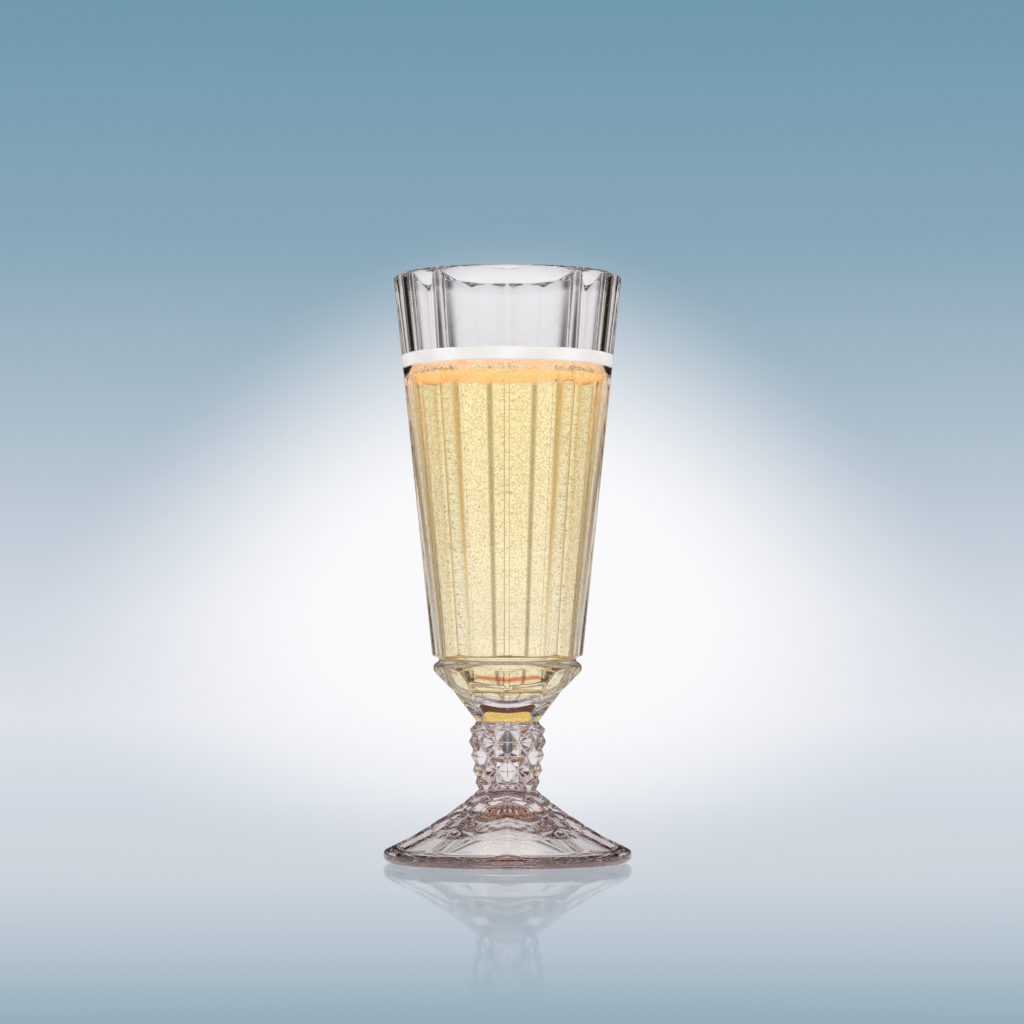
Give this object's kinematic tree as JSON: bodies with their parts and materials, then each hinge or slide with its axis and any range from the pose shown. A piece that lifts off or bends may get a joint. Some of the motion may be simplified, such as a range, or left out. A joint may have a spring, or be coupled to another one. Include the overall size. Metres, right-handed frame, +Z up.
{
  "type": "champagne flute",
  "caption": "Footed pressed-glass champagne flute with a panelled bowl, a diamond-cut knop and a faceted foot, filled with foaming champagne.",
  "frame": {"origin": "on the glass's axis, in the plane that the foot stands on", "axes": "+Z up along the axis of the glass, -Y through one of the bowl's ridges"},
  "size_m": [0.0722, 0.0722, 0.172],
  "materials": {
    "glass": "polished",
    "champagne": "gloss",
    "foam": "matte"
  },
  "bodies": {
    "root": {"bowl": "glass", "stem_knop": "glass", "foot": "glass", "champagne": "champagne", "foam": "foam"}
  },
  "joints": []
}
